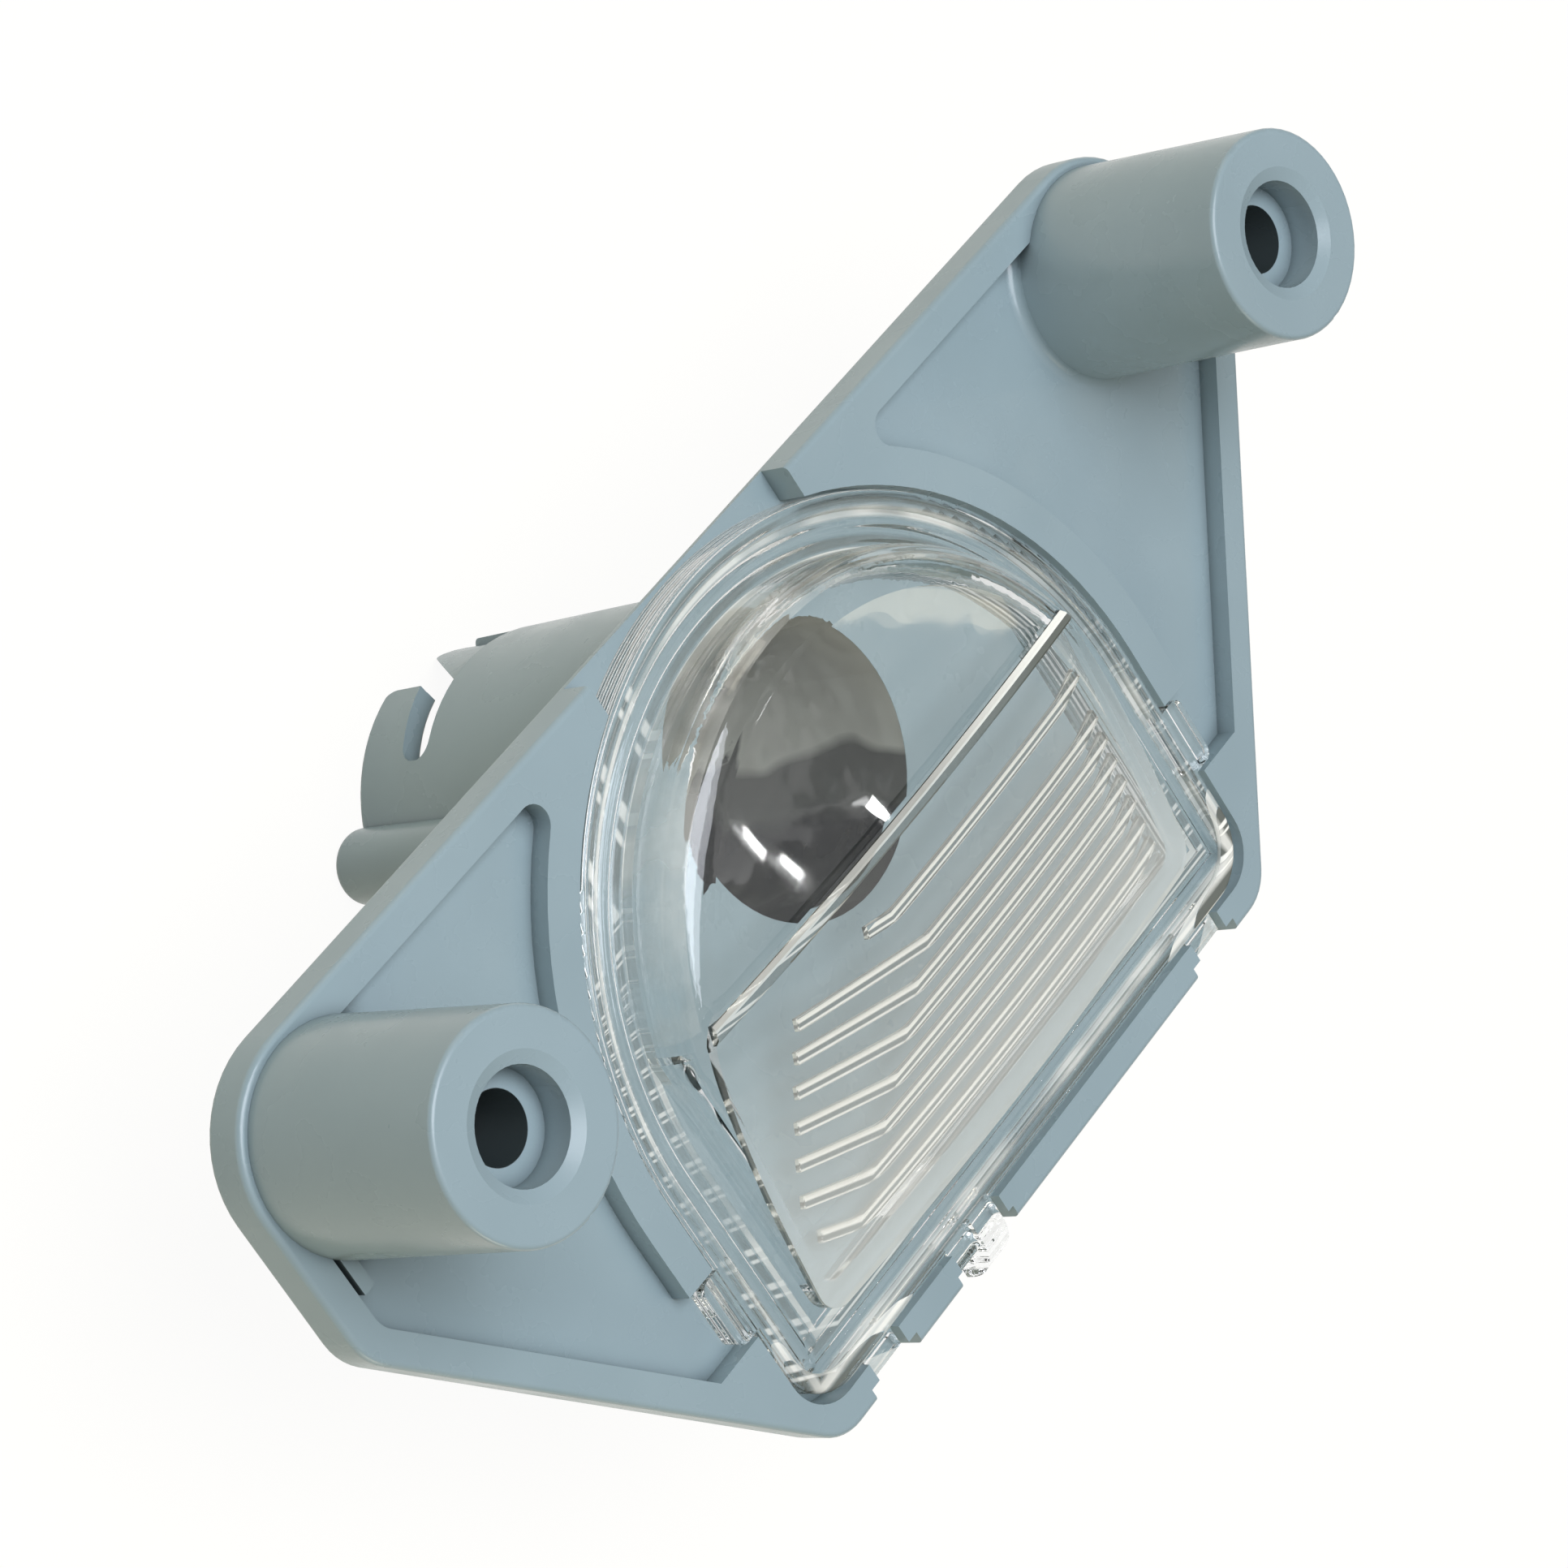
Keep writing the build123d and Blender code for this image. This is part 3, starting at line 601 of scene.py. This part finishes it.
def clear_plastic(look):
    """Clear acrylic with painted highlights and painted dark lines on its flutes, ridge and flange, and a
    painted pale veil standing in for reflections on the slanted face and the dome's wall. It lets lamplight
    through to what lies under it.
    """
    material, tree, output = new_material("clear_acrylic")
    place = add_node(tree, "ShaderNodeTexCoord")
    x, y, z = axes_of(tree, place)
    inwards = from_edge(tree, x, y)
    depth = under_top(tree, x, y, z)
    before_ridge = sums(tree, "LESS_THAN", y, RIDGE_Y)
    behind_ridge = sums(tree, "GREATER_THAN", y, RIDGE_Y)

    shader = add_node(
        tree, "ShaderNodeBsdfPrincipled",
        {"Base Color": (*look.tint, 1.0), "IOR": look.ior, "Transmission Weight": 1.0},
    )
    smears = noise(tree, place, look.ripple_size, detail=3.0)
    tree.links.new(spread(tree, smears, 0.0, LENS_ROUGHNESS), shader.inputs["Roughness"])
    ripples = noise(tree, place, look.ripple_size, detail=1.0)
    rippled = bump(tree, ripples, look.ripple_height)
    ringed = bump(tree, edge_rings(tree, inwards), look.ring_height, under=rippled)
    tree.links.new(ringed, shader.inputs["Normal"])

    # Painted highlight lines and painted dark lines on the flutes
    on_flutes = sums(tree, "MULTIPLY", between(tree, x, *FLUTES_X), between(tree, y, *FLUTES_Y),
                  between(tree, depth, *FLUTES_DEPTH))
    core = flute_lines(tree, x, y)
    painted_flute_share = sums(tree, "ADD", sums(tree, "MULTIPLY", core, look.painted_flute_share - look.flute_dark_line_share),
                       look.flute_dark_line_share)

    # Painted highlight on the ridge's bead, brighter towards its right end, with a painted dark line along its
    # foot
    ridge = between(tree, depth, *RIDGE_DEPTH)
    ridge_foot_shade = sums(tree, "MULTIPLY", ridge, sums(tree, "LESS_THAN", y, RIDGE_Y - RIDGE_PALE_HALF))
    ridge_highlight_share = spread(tree, x, look.ridge_highlight_share, 1.0, *RIDGE_PALE_X)

    # Painted pale veil standing in for a reflection on the slanted face
    on_slope = sums(tree, "MULTIPLY", between(tree, depth, *VEIL_DEPTH), before_ridge)
    painted_veil = sums(tree, "MULTIPLY", on_slope,
                spread(tree, y, look.painted_veil_share, look.painted_veil_share * VEIL_LEAST, *VEIL_Y))

    # Painted dark lines and painted highlight lines on the flange, standing in for its reflections
    on_flange = sums(tree, "MULTIPLY", between(tree, z, *LINES_Z), spread(tree, ripples, LINE_LEAST, 1.0))
    dark = sums(tree, "MULTIPLY", on_flange, stripes(tree, inwards, PAINTED_DARK_LINES))
    light = sums(tree, "MULTIPLY", on_flange, stripes(tree, inwards, PAINTED_HIGHLIGHT_LINES))

    # Painted reflection smears on the dome's wall
    on_wall = sums(tree, "MULTIPLY", between(tree, inwards, *WALL_BAND),
                   sums(tree, "GREATER_THAN", z, LINES_Z[1]), behind_ridge)
    wall_sheen = sums(tree, "MULTIPLY", on_wall, spread(tree, smears, 0.0, look.wall_sheen_share, *WALL_SHEEN_NOISE))

    # All painted highlights, painted dark lines and painted veils, laid over the clear plastic as a lit matt
    # layer
    share = sums(tree, "ADD", sums(tree, "MULTIPLY", on_flutes, painted_flute_share),
                 sums(tree, "MULTIPLY", ridge, ridge_highlight_share), painted_veil, wall_sheen,
                 sums(tree, "MULTIPLY", sums(tree, "ADD", dark, light), look.painted_line_share))
    pale = sums(tree, "MAXIMUM", core, sums(tree, "SUBTRACT", ridge, ridge_foot_shade), on_slope, on_wall, light)
    painted_marks = add_node(tree, "ShaderNodeBsdfDiffuse")
    tree.links.new(blend_colours(tree, pale, look.painted_dark_colour, look.painted_highlight_colour), painted_marks.inputs["Color"])
    skin = blend_shaders(tree, share, shader.outputs["BSDF"], painted_marks.outputs["BSDF"])

    clear = add_node(tree, "ShaderNodeBsdfTransparent")
    shaded = sums(tree, "MAXIMUM", on_flutes, ridge)
    tree.links.new(blend_colours(tree, shaded, look.shade, look.flute_shade), clear.inputs["Color"])
    path = add_node(tree, "ShaderNodeLightPath")
    straight = sums(tree, "MAXIMUM", path.outputs["Is Shadow Ray"], path.outputs["Is Diffuse Ray"])
    tree.links.new(blend_shaders(tree, straight, skin, clear.outputs["BSDF"]), output.inputs["Surface"])
    return material


# Stage


def pale_floor(look):
    """Plain pale floor that keeps shadows and looks nearly white."""
    material, tree, output = new_material("pale_floor")
    matt = add_node(tree, "ShaderNodeBsdfDiffuse", {"Color": (*look.floor_colour, 1.0)})
    white = add_node(tree, "ShaderNodeEmission", {"Color": (*WHITE, 1.0), "Strength": look.floor_white})
    path = add_node(tree, "ShaderNodeLightPath")
    seen = sums(tree, "MAXIMUM", path.outputs["Is Camera Ray"], path.outputs["Is Transmission Ray"],
                path.outputs["Is Glossy Ray"])
    share = sums(tree, "MULTIPLY", seen, look.floor_lift)
    floor = blend_shaders(tree, share, matt.outputs["BSDF"], white.outputs["Emission"])
    tree.links.new(floor, output.inputs["Surface"])
    return material


def studio_sky(look):
    """World that is bright overhead, darker towards the horizon, and white where the lens lets it be seen."""
    world = bpy.data.worlds.new("studio_sky")
    world.use_nodes = True
    tree = world.node_tree
    tree.nodes.clear()
    output = tree.nodes.new("ShaderNodeOutputWorld")
    place = add_node(tree, "ShaderNodeTexCoord")
    height = axes_of(tree, place, "Generated")[2]
    ramp = add_node(tree, "ShaderNodeValToRGB")
    stops = ramp.color_ramp.elements
    for position, _ in SKY_STOPS[1:-1]:
        stops.new(position)
    for stop, (position, colour) in zip(stops, SKY_STOPS):
        stop.position = position
        stop.color = (*colour, 1.0)
    tree.links.new(height, ramp.inputs["Fac"])
    sky = add_node(tree, "ShaderNodeBackground", {"Strength": look.sky_strength})
    tree.links.new(ramp.outputs["Color"], sky.inputs["Color"])
    white = add_node(tree, "ShaderNodeBackground", {"Color": (*WHITE, 1.0), "Strength": look.backdrop_strength})
    path = add_node(tree, "ShaderNodeLightPath")
    seen = blend_shaders(tree, path.outputs["Is Transmission Ray"], sky.outputs["Background"],
                         white.outputs["Background"])
    tree.links.new(seen, output.inputs["Surface"])
    bpy.context.scene.world = world


def add_lamp(name, power, place, size, colour, along, target):
    """Oblong lamp of a given length and width that faces a point, with its length along a direction."""
    lamp = bpy.data.lights.new(name, "AREA")
    lamp.shape = "RECTANGLE"
    lamp.size, lamp.size_y = size
    lamp.energy = power
    lamp.color = colour
    holder = bpy.data.objects.new(name, lamp)
    bpy.context.scene.collection.objects.link(holder)
    back = (Vector(place) - Vector(target)).normalized()
    length = Vector(along)
    length = (length - back * length.dot(back)).normalized()
    turn = Matrix((length, back.cross(length), back)).transposed().to_4x4()
    holder.matrix_world = Matrix.Translation(place) @ turn


def add_camera():
    """The photograph's camera."""
    view = bpy.data.cameras.new("photo_camera")
    view.sensor_width = SENSOR
    view.lens = CAMERA_PIXELS_FOCAL / PHOTO_PIXELS * SENSOR
    view.clip_start, view.clip_end = CAMERA_CLIP
    camera = bpy.data.objects.new("photo_camera", view)
    bpy.context.scene.collection.objects.link(camera)
    right = Vector(CAMERA_RIGHT).normalized()
    back = right.cross(Vector(CAMERA_UP)).normalized()
    turn = Matrix((right, back.cross(right), back)).transposed().to_4x4()
    camera.matrix_world = Matrix.Translation(CAMERA_PLACE) @ turn
    bpy.context.scene.camera = camera


# One operator for each piece, and one for the stage


class PLATELAMP_OT_finish_housing(bpy.types.Operator):
    """Give the moulded housing its plastic"""

    bl_idname = "platelamp.finish_housing"
    bl_label = "Finish housing"

    def execute(self, context):
        give("housing", moulded_plastic(context.scene.housing_look))
        return {"FINISHED"}


class PLATELAMP_OT_finish_lens(bpy.types.Operator):
    """Give the lens its clear plastic"""

    bl_idname = "platelamp.finish_lens"
    bl_label = "Finish lens"

    def execute(self, context):
        give("lens", clear_plastic(context.scene.lens_look))
        return {"FINISHED"}


class PLATELAMP_OT_set_stage(bpy.types.Operator):
    """Set the floor, the lamps, the surroundings and the camera"""

    bl_idname = "platelamp.set_stage"
    bl_label = "Set stage"

    def execute(self, context):
        look = context.scene.stage_look
        mesh = bpy.data.meshes.new("floor")
        shape = bmesh.new()
        bmesh.ops.create_circle(shape, cap_ends=True, segments=look.floor_sides, radius=look.floor_radius)
        bmesh.ops.translate(shape, verts=shape.verts, vec=(0.0, 0.0, look.floor_height))
        bmesh.ops.recalc_face_normals(shape, faces=shape.faces)
        shape.to_mesh(mesh)
        shape.free()
        floor = bpy.data.objects.new("floor", mesh)
        mesh.materials.append(pale_floor(look))
        context.scene.collection.objects.link(floor)

        studio_sky(look)
        middle = (cad_low + cad_high) / 2
        for name, power, *rest in LAMPS:
            add_lamp(name, getattr(look, power), *rest, middle)
        for place in GLINT_PLACES:
            add_lamp("glint_lamp", look.glint_power, place, GLINT_SIZE, WHITE, ALONG_X, middle)
        add_camera()
        context.scene.view_settings.view_transform = "Standard"
        return {"FINISHED"}


class PLATELAMP_PT_panel(bpy.types.Panel):
    """Steps that finish the lamp, with their sizes and colours"""

    bl_label = "Number plate lamp"
    bl_idname = "PLATELAMP_PT_panel"
    bl_space_type = "VIEW_3D"
    bl_region_type = "UI"
    bl_category = "Plate lamp"

    def draw(self, context):
        for operator, group in STEPS:
            box = self.layout.box()
            box.operator(operator.bl_idname)
            look = getattr(context.scene, group)
            for name in look.bl_rna.properties.keys():
                if name not in ("rna_type", "name"):
                    box.prop(look, name)


STEPS = (
    (PLATELAMP_OT_finish_housing, "housing_look"),
    (PLATELAMP_OT_finish_lens, "lens_look"),
    (PLATELAMP_OT_set_stage, "stage_look"),
)
LOOKS = {"housing_look": HousingLook, "lens_look": LensLook, "stage_look": StageLook}
CLASSES = (*LOOKS.values(), *(operator for operator, _ in STEPS), PLATELAMP_PT_panel)


def register():
    for each in CLASSES:
        bpy.utils.register_class(each)
    for name, group in LOOKS.items():
        setattr(bpy.types.Scene, name, PointerProperty(type=group))


def unregister():
    for name in LOOKS:
        delattr(bpy.types.Scene, name)
    for each in reversed(CLASSES):
        bpy.utils.unregister_class(each)


def main():
    register()
    bpy.ops.platelamp.finish_housing()
    bpy.ops.platelamp.finish_lens()
    bpy.ops.platelamp.set_stage()


if __name__ == "__main__":
    main()
